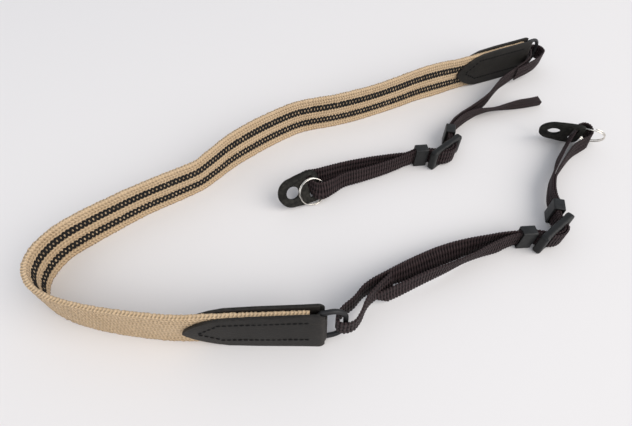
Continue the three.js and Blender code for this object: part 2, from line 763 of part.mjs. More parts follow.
function addEnd(prefix, end) {
  const { tab, buckle, patch, ring } = end;
  const places = ringPlaces(tab);
  stand(
    add(prefix + "_leather_tab", tabGeometry(tab), leather),
    fromFrame(tab, -tabLength, 0),
    tab.heading,
  );
  const dRing = add(prefix + "_d_ring", ringGeometry(), enamel);
  stand(dRing, places.bar, tab.ringHeading, ringMiddle);
  dRing.rotateX(-Math.atan(tab.ringLean));
  add(
    prefix + "_nylon_webbing",
    ribbon(nylonRows(end), nylonWidth, nylonThickness, 7, -end.lead * cutSlant),
    nylon,
  );
  stand(
    add(prefix + "_buckle", buckleGeometry(), plastic),
    fromFrame(buckle, 0, 0),
    buckle.heading,
  );
  const [ringKeeper, lugKeeper] = keepersOf(end.lead);
  const keepers = { ring: ringKeeper, lug: lugKeeper };
  for (const [side, keeper] of Object.entries(keepers)) {
    stand(
      add(prefix + "_" + side + "_keeper", keeperGeometry(), plastic),
      fromFrame(buckle, keeper.along * buckleLength, keeper.behind * buckleLength),
      buckle.heading + keeper.heading,
    );
  }
  const patchFrame = new THREE.Group();
  const slot = fromFrame(patch, 0, 0);
  patchFrame.position.set(slot.x, slot.y, patchMiddle(patch));
  patchFrame.rotation.set(-patch.lean * deg, 0, patch.heading * deg, "ZYX");
  group.add(patchFrame);
  add(prefix + "_leather_patch", patchGeometry(), leather, patchFrame);
  const splitRing = add(prefix + "_split_ring", splitRingGeometry(), nickel);
  const site = fromFrame(patch, ring.along * patchWidth, ring.behind * patchWidth);
  const lean = Math.abs(ring.lean) * deg;
  const coil = splitRingWire + fit / 2;
  const height = (splitRingOuter / 2) * Math.cos(lean) + coil * Math.sin(lean) + fit / 3;
  splitRing.position.set(site.x, site.y, height);
  splitRing.rotation.set(-ring.lean * deg, ring.turn * deg, (patch.heading + ring.heading) * deg, "ZXY");
}

add(
  "shoulder_webbing",
  ribbon(cottonRows(), webbingWidth, webbingThickness, 9),
  cotton,
);

// ring says where the split ring lies as shares of patchWidth from the slot of its patch, which way it
// points, how it leans, and where its wire ends, in degrees.
addEnd("front", {
  tab: frontTab,
  loop: frontLoop,
  loopLift: 0.46,
  main: frontMain,
  lead: 1,
  buckle: frontBuckle,
  pair: frontPair,
  out: frontOut,
  turn: frontTurn,
  patch: frontPatch,
  back: frontBack,
  tail: frontTail,
  ring: { along: 0.6, behind: 0.178, heading: -8, lean: -27.6, turn: 200 },
});
addEnd("back", {
  tab: backTab,
  loop: backLoop,
  loopLift: 0.36,
  main: backMain,
  lead: -1,
  buckle: backBuckle,
  pair: backPair,
  out: backOut,
  turn: backTurn,
  patch: backPatch,
  back: backBack,
  tail: backTail,
  ring: { along: -0.03, behind: -0.19, heading: 0, lean: 28, turn: 100 },
});

// The middle of the strap's outer box stands over the origin, and its lowest edge on the floor.
const assembly = new THREE.Group();
assembly.add(group);
const bounds = new THREE.Box3().setFromObject(group, true);
const middle = bounds.getCenter(new THREE.Vector3());
group.position.set(-middle.x, -middle.y, -bounds.min.z);

export default assembly;
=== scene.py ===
import math
import random

import bpy
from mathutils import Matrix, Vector


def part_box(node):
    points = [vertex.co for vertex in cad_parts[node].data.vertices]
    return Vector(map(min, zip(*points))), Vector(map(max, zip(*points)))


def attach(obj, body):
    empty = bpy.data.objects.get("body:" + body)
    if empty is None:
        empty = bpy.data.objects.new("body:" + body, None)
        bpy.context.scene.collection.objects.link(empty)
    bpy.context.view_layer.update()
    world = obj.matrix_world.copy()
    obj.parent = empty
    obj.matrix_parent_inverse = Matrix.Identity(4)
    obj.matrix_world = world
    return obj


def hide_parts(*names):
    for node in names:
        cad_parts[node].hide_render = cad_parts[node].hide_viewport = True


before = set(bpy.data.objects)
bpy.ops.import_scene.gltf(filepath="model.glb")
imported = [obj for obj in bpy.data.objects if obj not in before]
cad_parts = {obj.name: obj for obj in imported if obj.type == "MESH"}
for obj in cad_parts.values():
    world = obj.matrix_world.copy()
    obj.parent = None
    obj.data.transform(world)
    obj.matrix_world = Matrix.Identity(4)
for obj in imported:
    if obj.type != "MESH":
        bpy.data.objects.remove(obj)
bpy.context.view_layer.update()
random.seed(7)
deg = math.pi / 180
mm = 0.001

# The strap's own sizes in millimetres
layLength = 340
layDepth = 240
fit = 0.3
webbingWidth = 25.4
webbingThickness = 2.2
leatherThickness = 1.6
tabLength = 67
tabWidth = 26.5
foldHollow = 8
ringWire = 2.4
ringDepth = 12.4
nylonWidth = 11
nylonThickness = 1.2
cutSlant = 4.5
keeperLength = 8
keeperFloor = 1.1
buckleLength = 26.4
buckleThickness = 3.4
patchThickness = 2
patchWidth = 20
restLift = keeperFloor + fit + 0.05
layerStep = nylonThickness + fit
stitchedGap = webbingThickness / 2 + 2 * fit
foldGap = ringWire / 2 + 2 * fit
foldRadius = foldGap + leatherThickness
crest = buckleThickness / 2 + fit + nylonThickness / 2

# Each end of the strap. x and y are shares of layLength and layDepth, and angles are in degrees.
# The nylon runs from its loop round the D-ring through main, keepers, buckle, pair and out to its turn
# round the split ring, and by back through the same keepers and buckle to its tail.
ends = {
    "front": {
        "lead": 1,
        "tab": {"x": -0.067, "y": -0.4745, "heading": 1, "lean": 0.12, "ringHeading": 11},
        "buckle": {"x": 0.309, "y": -0.235, "heading": 39},
        "patch": {"x": 0.423, "y": 0.096, "heading": -16, "lean": -20},
        "loopLift": 0.46,
        # out, side, back from the ring's bow, as shares of ringDepth
        "loop": [
            (1.07, 0.68, 0.1), (0.62, 0.1, 0.05), (0.33, -0.17, 0), (0.03, -0.24, 0), (-0.2, -0.2, 0),
            (-0.34, -0.03, 0), (-0.29, 0.19, 0), (-0.02, 0.44, 0.05), (0.51, 0.74, 0.1),
            (1.06, 1.17, 0.15),
        ],
        # x, y, lift as a share of nylonWidth, side, back
        "main": [
            (0.029, -0.362, 0.41, 0, 0.4), (0.054, -0.343, 0.32, 0, 0.8), (0.084, -0.32, 0.23, 0, 1.1),
            (0.112, -0.3, 0.14, 0, 1), (0.138, -0.285, 0.07, 0, 0.75), (0.165, -0.272, 0.02, 0, 0.45),
            (0.191, -0.261, 0, 0, 0.2), (0.221, -0.25, 0, 0, 0.05),
        ],
        "pair": [(0.332, -0.128, 0, -0.05, 0), (0.339, -0.096, 0, -0.12, 0), (0.351, -0.06, 0, -0.12, 0)],
        "out": [(0.367, -0.02, 0, -0.1, 0), (0.382, 0.016, 0.06, 0, -0.1)],
        # along, behind, drop, side, lean from the patch's slot, as shares of patchWidth
        "turn": [
            (-0.18, -0.5, 0.05, 0, 0.7), (-0.05, -0.16, 0, 0, 1), (0, 0, 0, 0, 1), (0.05, 0.16, 0, 0, 1),
            (0.13, 0.3, 0, 0, 0.9), (0.28, 0.39, 0, 0, 0.6), (0.45, 0.33, 0.02, 0, 0.2),
            (0.55, 0.12, 0.05, -0.05, 0), (0.53, -0.1, 0.09, -0.1, -0.2),
        ],
        "back": [
            (0.435, 0.061, 0.02, -0.15, 0.12), (0.413, 0.04, 0, -0.15, 0.12),
            (0.391, 0.007, 0, -0.12, 0.06),
        ],
        "tail": [
            (0.227, -0.261, 0, 0, 0.1), (0.212, -0.271, 0, 0, 0.15), (0.187, -0.286, 0.02, 0, -0.04),
            (0.157, -0.306, 0.04, 0, -0.2), (0.119, -0.334, 0.13, 0, -0.07),
            (0.081, -0.358, 0.13, 0, 0.08), (0.043, -0.383, 0.03, 0, 0.15),
            (0.009, -0.403, -0.1, 0, 0.15),
        ],
    },
    "back": {
        "lead": -1,
        "tab": {"x": 0.406, "y": 0.468, "heading": 23.4, "lean": 0, "ringHeading": 29},
        "buckle": {"x": 0.165, "y": 0.036, "heading": 41},
        "patch": {"x": -0.092, "y": -0.0975, "heading": 27, "lean": 28},
        "loopLift": 0.36,
        # out, side, back from the ring's bow, as shares of ringDepth
        "loop": [
            (-1.0, -0.95, -0.05), (-0.25, -0.73, -0.1), (0.26, -0.46, -0.1), (0.39, -0.03, 0),
            (0.15, 0.29, 0), (-0.24, 0.25, 0), (-0.45, -0.06, 0), (-1.05, -0.57, -0.05),
        ],
        # x, y, lift as a share of nylonWidth, side, back
        "main": [
            (0.365, 0.385, 0.18, 0, -0.08), (0.346, 0.361, 0.18, 0, -0.08),
            (0.324, 0.333, 0.16, 0, -0.08), (0.304, 0.298, 0.12, 0, -0.1),
            (0.284, 0.261, 0.09, 0, -0.05), (0.259, 0.227, 0.05, 0, 0), (0.236, 0.2, 0.01, 0, 0),
            (0.213, 0.174, 0, 0, 0), (0.196, 0.15, 0, 0, 0),
        ],
        "pair": [(0.0945, 0.012, 0, 0, 0), (0.0845, 0.006, 0, 0, 0)],
        "out": [(0.073, 0.006, 0, 0, 0.05), (0.022, -0.008, 0, 0, 0.1), (-0.031, -0.031, 0.05, 0, 0.2)],
        # along, behind, drop, side, lean from the patch's slot, as shares of patchWidth
        "turn": [
            (0.3, 0.28, 0.02, 0, 0.8), (0.11, 0.31, 0, 0, 1), (-0.03, 0.31, 0, 0, 1),
            (-0.09, 0.27, 0, 0, 1), (-0.073, 0.21, 0, 0, 1), (0, 0, 0, 0, 1), (0.073, -0.21, 0, 0, 1),
            (0.17, -0.31, 0, 0, 1), (0.34, -0.34, 0, 0, 0.75), (0.52, -0.31, 0.02, 0, 0.5),
            (0.7, -0.26, 0.06, 0, 0.35),
        ],
        "back": [
            (-0.032, -0.069, 0, 0, 0.16), (0, -0.052, 0, 0, 0.12), (0.042, -0.028, 0, 0, 0.08),
            (0.071, -0.008, 0, 0, 0.03),
        ],
        "tail": [
            (0.203, 0.148, 0, 0, 0), (0.222, 0.174, 0, 0, -0.05), (0.246, 0.197, -0.02, 0, -0.3),
            (0.271, 0.215, -0.07, 0, -0.65), (0.294, 0.227, -0.08, 0, -0.8),
            (0.318, 0.236, -0.09, 0, -0.55), (0.345, 0.245, -0.1, 0, -0.3),
            (0.374, 0.254, -0.1, 0, -0.25), (0.403, 0.266, -0.1, 0, -0.2),
        ],
    },
}

# Both buckles have the same keepers, and the nylon goes over their bars in two bows.
# Places are shares of buckleLength along and behind the buckle, and of crest in front of it.
keepers = {
    "left": {"along": -0.56, "behind": 0.315, "heading": -35},
    "right": {"along": 0.55, "behind": 0.31, "heading": 37},
}
bows = {
    "inner": [(-0.25, -0.6), (-0.17, 0.35), (-0.05, 1.12), (0.075, 1.3), (0.165, 0.85), (0.215, -0.1)],
    "outer": [
        (-0.315, -0.45), (-0.235, 0.75), (-0.09, 1.72), (0.085, 1.92), (0.215, 1.35), (0.275, 0.3),
        (0.315, -0.55),
    ],
}


def fromFrame(place, right, left):
    c, s = math.cos(place["heading"] * deg), math.sin(place["heading"] * deg)
    return (
        place["x"] * layLength + right * c - left * s,
        place["y"] * layDepth + right * s + left * c,
    )


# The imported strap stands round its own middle, so one keeper says how far everything moved.
low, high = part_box("front_ring_keeper")
keeperX, keeperY = fromFrame(
    ends["front"]["buckle"],
    keepers["left"]["along"] * buckleLength,
    keepers["left"]["behind"] * buckleLength,
)
shift = Vector(((low.x + high.x) / 2 - keeperX * mm, (low.y + high.y) / 2 - keeperY * mm, low.z))

# Smooth paths through rows, and curves that bend a flat strip along them


def hermite(a, b, tangentA, tangentB, t):
    return (
        a + tangentA * t + (-3 * a + 3 * b - 2 * tangentA - tangentB) * t * t
        + (2 * a - 2 * b + tangentA + tangentB) * t * t * t
    )


def smoothPath(rows, width, thickness, steps):
    # A row's lower corner stands on its base, unless the row gives its own middle
    ups = [Vector((*row["tilt"], 1)).normalized() for row in rows]
    middles = []
    for row, up in zip(rows, ups):
        corner = width / 2 * up.z + thickness / 2 * math.hypot(up.x, up.y)
        middles.append(Vector((row["x"], row["y"], row.get("middle", row.get("base", 0) + corner))))
    points, leans = [], []
    last = len(rows) - 1
    for i in range(last):
        p1, p2 = middles[i], middles[i + 1]
        p0 = middles[i - 1] if i else 2 * p1 - p2
        p3 = middles[i + 2] if i + 2 <= last else 2 * p2 - p1
        d0, d1, d2 = (math.sqrt((b - a).length) for a, b in ((p0, p1), (p1, p2), (p2, p3)))
        t1 = ((p1 - p0) / d0 - (p2 - p0) / (d0 + d1) + (p2 - p1) / d1) * d1
        t2 = ((p2 - p1) / d1 - (p3 - p1) / (d1 + d2) + (p3 - p2) / d2) * d1
        u0, u1 = ups[max(i - 1, 0)], ups[i]
        u2, u3 = ups[i + 1], ups[min(i + 2, last)]
        for k in range(steps + (i == last - 1)):
            t = k / steps
            points.append(hermite(p1, p2, t1, t2, t))
            leans.append(hermite(u1, u2, (u2 - u0) / 2, (u3 - u1) / 2, t))
    return points, leans


def pathCurve(name, rows, width, thickness, steps):
    points, leans = smoothPath(rows, width, thickness, steps)
    data = bpy.data.curves.new(name, "CURVE")
    data.dimensions = "3D"
    data.twist_mode = "Z_UP"
    line = data.splines.new("POLY")
    line.points.add(len(points) - 1)
    length = 0
    for i, (point, lean) in enumerate(zip(points, leans)):
        along = (points[min(i + 1, len(points) - 1)] - points[max(i - 1, 0)]).normalized()
        level = (Vector((0, 0, 1)) - along * along.z).normalized()
        up = (lean - along * lean.dot(along)).normalized()
        line.points[i].co = (*(point * mm + shift), 1)
        line.points[i].tilt = math.atan2(along.dot(level.cross(up)), level.dot(up))
        if i:
            length += (point - points[i - 1]).length * mm
    curve = bpy.data.objects.new(name, data)
    bpy.context.scene.collection.objects.link(curve)
    return curve, length


# Steps that many pieces share


def choose(obj):
    bpy.ops.object.select_all(action="DESELECT")
    obj.select_set(True)
    bpy.context.view_layer.objects.active = obj


def applied(obj, kind, **settings):
    choose(obj)
    modifier = obj.modifiers.new(kind.lower(), kind)
    for key, value in settings.items():
        setattr(modifier, key, value)
    bpy.ops.object.modifier_apply(modifier=modifier.name)


# Edit mode with what the test picks from the ends of edges, normals of faces or places of vertices
def editPicked(obj, parts, test):
    choose(obj)
    bpy.ops.object.mode_set(mode="EDIT")
    bpy.ops.mesh.select_mode(type={"vertices": "VERT", "edges": "EDGE", "polygons": "FACE"}[parts])
    bpy.ops.mesh.select_all(action="DESELECT")
    bpy.ops.object.mode_set(mode="OBJECT")
    for item in getattr(obj.data, parts):
        if parts == "vertices":
            item.select = test(item.co)
        elif parts == "edges":
            item.select = test(*(obj.data.vertices[v].co for v in item.vertices))
        else:
            item.select = test(item.normal)
    bpy.ops.object.mode_set(mode="EDIT")


def editAll(obj):
    choose(obj)
    bpy.ops.object.mode_set(mode="EDIT")
    bpy.ops.mesh.select_all(action="SELECT")


def objectMode():
    bpy.ops.object.mode_set(mode="OBJECT")


def flatUv(obj, stretch=1):
    layer = obj.data.uv_layers.active or obj.data.uv_layers.new(name="flat")
    for loop in obj.data.loops:
        co = obj.data.vertices[loop.vertex_index].co
        layer.data[loop.index].uv = (co.x * stretch, co.z + co.y)


def strip(name, length, width, thickness, look):
    # One short length of webbing, drawn in where its rows of yarn meet, then repeated
    count = max(2, round(length / mm / look["row"]))
    pace = length / count
    bpy.ops.object.select_all(action="DESELECT")
    bpy.ops.mesh.primitive_cube_add(size=1, location=(pace / 2, 0, 0))
    obj = bpy.context.object
    obj.name = name
    obj.scale = (pace, thickness * mm, width * mm)
    bpy.ops.object.transform_apply(location=True, rotation=True, scale=True)
    editPicked(obj, "edges", lambda a, b: abs(a.x - b.x) > pace / 2)
    bpy.ops.mesh.bevel(offset=look["edge"] * mm, segments=3, affect="EDGES")
    objectMode()
    editPicked(obj, "polygons", lambda normal: abs(normal.x) > 0.9)
    bpy.ops.mesh.delete(type="ONLY_FACE")
    objectMode()
    editPicked(obj, "edges", lambda a, b: abs(a.x - b.x) > pace / 2)
    bpy.ops.mesh.subdivide(number_cuts=look["along"])
    objectMode()
    editPicked(obj, "edges", lambda a, b: abs(a.z - b.z) > width * mm / 2)
    bpy.ops.mesh.subdivide(number_cuts=look["across"])
    objectMode()
    editPicked(obj, "vertices", lambda co: co.x < pace * 0.01 or co.x > pace * 0.99)
    bpy.ops.transform.resize(value=(1, look["waist"], look["scallop"]), center_override=(0, 0, 0))
    objectMode()
    applied(
        obj, "ARRAY", count=count, use_merge_vertices=True, merge_threshold=0.02 * mm,
        use_relative_offset=False, use_constant_offset=True, constant_offset_displace=(pace, 0, 0),
    )
    editAll(obj)
    bpy.ops.mesh.fill_holes(sides=0)
    bpy.ops.mesh.select_all(action="SELECT")
    bpy.ops.mesh.normals_make_consistent(inside=False)
    objectMode()
    flatUv(obj, look["row"] * mm / pace)
    lumps = bpy.data.textures.new(name + "Lumps", "CLOUDS")
    lumps.noise_scale = look["lump"] * mm
    lumps.noise_depth = 1
    applied(obj, "DISPLACE", texture=lumps, strength=look["rough"] * mm, mid_level=0.5)
    return obj


def bent(obj, curve):
    applied(obj, "CURVE", object=curve, deform_axis="POS_X")
    bpy.data.objects.remove(curve)
    choose(obj)
    bpy.ops.object.shade_smooth_by_angle(angle=50 * deg)


def restOnFloor(obj):
    # What would dip under the floor is flat where it rests
    if min(vertex.co.z for vertex in obj.data.vertices) < 0:
        editPicked(obj, "vertices", lambda co: co.z < 0)
        bpy.ops.transform.resize(value=(1, 1, 0), center_override=(0, 0, 0))
        objectMode()


def dress(obj, material, slot, *nodes):
    restOnFloor(obj)
    obj.data.materials.clear()
    obj.data.materials.append(material)
    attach(obj, "root")
    if nodes:
        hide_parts(*nodes)


# Nodes, and the two effects that several finishes share


def newGroup(name, inputs, outputs):
    group = bpy.data.node_groups.new(name, "ShaderNodeTree")
    for label, kind in inputs:
        group.interface.new_socket(name=label, in_out="INPUT", socket_type=kind)
    for label, kind in outputs:
        group.interface.new_socket(name=label, in_out="OUTPUT", socket_type=kind)
    return group, group.nodes.new("NodeGroupInput"), group.nodes.new("NodeGroupOutput")


def mathNode(tree, kind, a, b=None, c=None):
    node = tree.nodes.new("ShaderNodeMath")
    node.operation = kind
    for socket, value in zip(node.inputs, (a, b, c)):
        if value is None:
            continue
        if isinstance(value, (int, float)):
            socket.default_value = value
        else:
            tree.links.new(value, socket)
    return node.outputs[0]


def noiseNode(tree, vector, scale, detail=4, rough=0.55):
    node = tree.nodes.new("ShaderNodeTexNoise")
    node.inputs["Scale"].default_value = scale
    node.inputs["Detail"].default_value = detail
    node.inputs["Roughness"].default_value = rough
    tree.links.new(vector, node.inputs["Vector"])
    return node.outputs["Fac"]


def rampNode(tree, value, low, high):
    node = tree.nodes.new("ShaderNodeMapRange")
    node.inputs["From Min"].default_value = low
    node.inputs["From Max"].default_value = high
    tree.links.new(value, node.inputs["Value"])
    return node.outputs["Result"]


def mixNode(tree, factor, a, b):
    node = tree.nodes.new("ShaderNodeMix")
    node.data_type = "RGBA"
    for socket, value in ((node.inputs[0], factor), (node.inputs[6], a), (node.inputs[7], b)):
        if isinstance(value, tuple):
            socket.default_value = (*value, 1)
        else:
            tree.links.new(value, socket)
    return node.outputs[2]


# Rows of yarn that lean one way and then the other, for flat places in metres
yarn = {
    "rowHeight": 0.45, "columnHeight": 0.3, "fuzzHeight": 0.5, "gapHeight": -0.7, "fuzzScale": 2600,
    "slide": -0.25, "shade": (-0.6, 0.9), "patchy": (0.3, 0.75), "patchShare": 0.35, "sheenRough": 0.45,
}


def yarnRelief():
    group, given, result = newGroup(
        "yarnRelief",
        [
            ("Flat", "NodeSocketVector"), ("Pitch", "NodeSocketFloat"),
            ("Column", "NodeSocketFloat"), ("Lean", "NodeSocketFloat"),
        ],
        [("Height", "NodeSocketFloat")],
    )
    split = group.nodes.new("ShaderNodeSeparateXYZ")
    group.links.new(given.outputs["Flat"], split.inputs[0])
    column = mathNode(group, "DIVIDE", split.outputs[1], given.outputs["Column"])
    zigzag = mathNode(group, "PINGPONG", column, 1.0)
    lean = mathNode(group, "MULTIPLY_ADD", zigzag, given.outputs["Lean"], yarn["slide"])
    row = mathNode(group, "ADD", mathNode(group, "DIVIDE", split.outputs[0], given.outputs["Pitch"]), lean)
    wave = mathNode(group, "SINE", mathNode(group, "MULTIPLY", row, 2 * math.pi))
    ridge = mathNode(group, "SINE", mathNode(group, "MULTIPLY", column, 2 * math.pi))
    fuzz = noiseNode(group, given.outputs["Flat"], yarn["fuzzScale"], 5, 0.65)
    height = mathNode(group, "MULTIPLY", wave, yarn["rowHeight"])
    height = mathNode(group, "MULTIPLY_ADD", ridge, yarn["columnHeight"], height)
    height = mathNode(group, "MULTIPLY_ADD", fuzz, yarn["fuzzHeight"], height)
    # Small sunken gaps where two columns and two rows meet; the cloth finishes paint them dark, as painted
    # shade in the holes
    gapAcross = mathNode(group, "MINIMUM", ridge, 0.0)
    gapAlong = mathNode(group, "MINIMUM", wave, 0.0)
    gaps = mathNode(group, "MULTIPLY", gapAcross, gapAlong)
    height = mathNode(group, "MULTIPLY_ADD", gaps, yarn["gapHeight"], height)
    group.links.new(height, result.inputs["Height"])
    return group


# Pebbles and fine creases of leather or moulded plastic, for places in metres
grain = {
    "fineScale": 3500, "fineHeight": 0.5, "mottleScale": 160, "scuffScale": 520, "mottled": (0.3, 0.7),
    "edges": (0.51, 0.56), "scuffed": (0.35, 0.6),
}


def surfaceGrain():
    group, given, result = newGroup(
        "surfaceGrain",
        [("Place", "NodeSocketVector"), ("Scale", "NodeSocketFloat")],
        [("Height", "NodeSocketFloat"), ("Mottle", "NodeSocketFloat"), ("Scuff", "NodeSocketFloat")],
    )
    place = given.outputs["Place"]
    cells = group.nodes.new("ShaderNodeTexVoronoi")
    cells.feature = "SMOOTH_F1"
    group.links.new(place, cells.inputs["Vector"])
    group.links.new(given.outputs["Scale"], cells.inputs["Scale"])
    fine = noiseNode(group, place, grain["fineScale"], 4, 0.6)
    fine = mathNode(group, "MULTIPLY", fine, grain["fineHeight"])
    mottle = noiseNode(group, place, grain["mottleScale"], 5, 0.6)
    scuff = noiseNode(group, place, grain["scuffScale"], 6, 0.7)
    group.links.new(mathNode(group, "ADD", cells.outputs["Distance"], fine), result.inputs["Height"])
    group.links.new(mottle, result.inputs["Mottle"])
    group.links.new(scuff, result.inputs["Scuff"])
    return group


weaveGroup = yarnRelief()
grainGroup = surfaceGrain()


def newMaterial(name, look):
    material = bpy.data.materials.new(name)
    material.use_nodes = True
    material.diffuse_color = (*look["color"], 1)
    tree = material.node_tree
    shader = tree.nodes["Principled BSDF"]
    shader.inputs["Base Color"].default_value = (*look["color"], 1)
    shader.inputs["Roughness"].default_value = look["rough"]
    shader.inputs["Metallic"].default_value = look.get("metal", 0)
    shader.inputs["Specular IOR Level"].default_value = look.get("shine", 0.22)
    return material, tree, shader


def bumped(tree, shader, height, distance):
    bump = tree.nodes.new("ShaderNodeBump")
    bump.inputs["Distance"].default_value = distance
    tree.links.new(height, bump.inputs["Height"])
    tree.links.new(bump.outputs[0], shader.inputs["Normal"])


def useGroup(tree, group, source, **values):
    node = tree.nodes.new("ShaderNodeGroup")
    node.node_tree = group
    tree.links.new(source, node.inputs[0])
    for key, value in values.items():
        node.inputs[key].default_value = value
    return node


def clothMaterial(name, look):
    material, tree, shader = newMaterial(name, look)
    place = tree.nodes.new("ShaderNodeTexCoord")
    weave = useGroup(
        tree, weaveGroup, place.outputs["UV"], Pitch=look["pitch"], Column=look["column"], Lean=look["lean"],
    )
    # Low places of the weave take the darker low colour: painted shade in its valleys and gaps
    shade = rampNode(tree, weave.outputs["Height"], *yarn["shade"])
    tone = mixNode(tree, shade, look["low"], look["color"])
    patchy = rampNode(tree, noiseNode(tree, place.outputs["Object"], look["patches"]), *yarn["patchy"])
    tone = mixNode(tree, mathNode(tree, "MULTIPLY", patchy, yarn["patchShare"]), tone, look["worn"])
    tree.links.new(tone, shader.inputs["Base Color"])
    shader.inputs["Sheen Weight"].default_value = look.get("sheen", 0)
    shader.inputs["Sheen Roughness"].default_value = yarn["sheenRough"]
    bumped(tree, shader, weave.outputs["Height"], look["depth"])
    return material


def grainMaterial(name, look):
    material, tree, shader = newMaterial(name, look)
    place = tree.nodes.new("ShaderNodeTexCoord")
    marks = useGroup(tree, grainGroup, place.outputs["Object"], Scale=look["grain"])
    mottled = rampNode(tree, marks.outputs["Mottle"], *grain["mottled"])
    tone = mixNode(tree, mottled, look["low"], look["color"])
    geometry = tree.nodes.new("ShaderNodeNewGeometry")
    edges = rampNode(tree, geometry.outputs["Pointiness"], *grain["edges"])
    scuffed = rampNode(tree, marks.outputs["Scuff"], *grain["scuffed"])
    scuffed = mathNode(tree, "MULTIPLY", edges, scuffed)
    tone = mixNode(tree, mathNode(tree, "MULTIPLY", scuffed, look["wear"]), tone, look["worn"])
    tree.links.new(tone, shader.inputs["Base Color"])
    spread = look["roughSpread"]
    rough = mathNode(tree, "MULTIPLY_ADD", marks.outputs["Scuff"], spread, look["rough"] - spread / 2)
    tree.links.new(rough, shader.inputs["Roughness"])
    bumped(tree, shader, marks.outputs["Height"], look["depth"])
    return material


# Finishes: pitch, column, grain and depth in metres, the rest as the shader takes it
# For the cloth finishes, low is the painted shade colour of the weave's valleys and gaps
cottonMaterial = clothMaterial("cottonWeave", {
    "color": (0.61, 0.45, 0.285), "low": (0.42, 0.29, 0.165), "worn": (0.68, 0.52, 0.35), "rough": 0.95,
    "pitch": 0.0018, "column": 0.0021, "lean": 0.5, "patches": 60, "sheen": 0.05, "depth": 0.0004,
})
stripeMaterial = clothMaterial("stripeYarn", {
    "color": (0.012, 0.0115, 0.011), "low": (0.004, 0.004, 0.004), "worn": (0.03, 0.027, 0.024),
    "rough": 0.8, "pitch": 0.0006, "column": 0.0009, "lean": 0.7, "patches": 200, "depth": 0.00012,
})
nylonMaterial = clothMaterial("nylonWeave", {
    "color": (0.043, 0.026, 0.027), "low": (0.0013, 0.0008, 0.001), "worn": (0.054, 0.035, 0.036),
    "rough": 0.6, "pitch": 0.00175, "column": 0.0036, "lean": 0.18, "patches": 90, "depth": 0.0006,
})
stitchMaterial = clothMaterial("stitchThread", {
    "color": (0.0035, 0.0035, 0.0035), "low": (0.002, 0.002, 0.002), "worn": (0.008, 0.0075, 0.007),
    "rough": 0.85, "pitch": 0.0004, "column": 0.0006, "lean": 0.7, "patches": 300, "depth": 0.00006,
})
leatherMaterial = grainMaterial("tabLeather", {
    "color": (0.0145, 0.0135, 0.0125), "low": (0.0105, 0.0098, 0.009), "worn": (0.07, 0.06, 0.05),
    "rough": 0.56, "roughSpread": 0.25, "grain": 1500, "wear": 0.5, "depth": 0.00012, "shine": 0.18,
})
patchMaterial = grainMaterial("patchLeather", {
    "color": (0.0085, 0.0085, 0.0075), "low": (0.0065, 0.0065, 0.006), "worn": (0.05, 0.047, 0.04),
    "rough": 0.62, "roughSpread": 0.2, "grain": 1900, "wear": 0.6, "depth": 0.00006, "shine": 0.1,
})
plasticMaterial = grainMaterial("mouldedPlastic", {
    "color": (0.009, 0.0095, 0.0092), "low": (0.007, 0.0072, 0.0072), "worn": (0.05, 0.05, 0.05),
    "rough": 0.42, "roughSpread": 0.2, "grain": 2600, "wear": 0.4, "depth": 0.00003, "shine": 0.26,
})
enamelMaterial = grainMaterial("ringEnamel", {
    "color": (0.018, 0.018, 0.019), "low": (0.011, 0.011, 0.012), "worn": (0.12, 0.115, 0.11),
    "rough": 0.4, "roughSpread": 0.2, "grain": 1200, "wear": 0.35, "depth": 0.00003, "shine": 0.25,
})
nickelMaterial = grainMaterial("nickelPlate", {
    "color": (0.78, 0.74, 0.67), "low": (0.6, 0.57, 0.52), "worn": (0.9, 0.88, 0.82), "metal": 1,
    "rough": 0.2, "roughSpread": 0.14, "grain": 900, "wear": 0.5, "depth": 0.00002, "shine": 0.5,
})
print("materials made")

# Cotton webbing with two chain-stitched stripes on its inner face. Its run is x and y as shares of
# layLength and layDepth, and how far its top edge leans back. The rest is in millimetres or shares.
cotton = {
    "thick": 2.5, "row": 1.8, "waist": 0.985, "edge": 0.6, "scallop": 0.995, "along": 3, "across": 12,
    "lump": 1, "rough": 0.85, "steps": 8,
    "run": [
        (0.18, 0.331, 0.13), (0.134, 0.301, 0.1), (0.089, 0.265, 0.07), (0.044, 0.232, 0.02),
        (-0.003, 0.202, 0.03), (-0.051, 0.178, 0.02), (-0.096, 0.161, 0.02), (-0.124, 0.145, 0.05),
        (-0.166, 0.105, 0.08), (-0.206, 0.059, 0.09), (-0.243, 0.008, 0.06), (-0.273, -0.046, -0.03),
        (-0.291, -0.076, -0.08), (-0.334, -0.116, -0.04), (-0.377, -0.155, -0.04), (-0.418, -0.199, 0),
        (-0.457, -0.245, 0.04), (-0.483, -0.283, 0), (-0.497, -0.325, 0), (-0.498, -0.365, 0),
        (-0.484, -0.402, 0), (-0.452, -0.432, -0.02), (-0.404, -0.454, 0), (-0.341, -0.47, 0.01),
        (-0.29, -0.478, 0.01),
    ],
}
chain = {"link": 2.3, "radius": 1, "yarn": 0.58, "deep": 0.65, "wide": 1.8, "webbingShare": 0.195}


def cottonRows():
    tabRows = {}
    for name, end in ends.items():
        tab = end["tab"]
        tabRows[name] = []
        for inset in (foldHollow, 0.4 * tabLength, 0.8 * tabLength, tabLength):
            x, y = fromFrame(tab, -inset, 0)
            back = tab["lean"] * (1 - inset / tabLength)
            tilt = (-back * math.sin(tab["heading"] * deg), back * math.cos(tab["heading"] * deg))
            tabRows[name].append({"x": x, "y": y, "base": 0, "tilt": tilt})
    run = [
        {"x": x * layLength, "y": y * layDepth, "base": 0, "tilt": (0, back)}
        for x, y, back in cotton["run"]
    ]
    return tabRows["back"] + run + tabRows["front"][::-1]


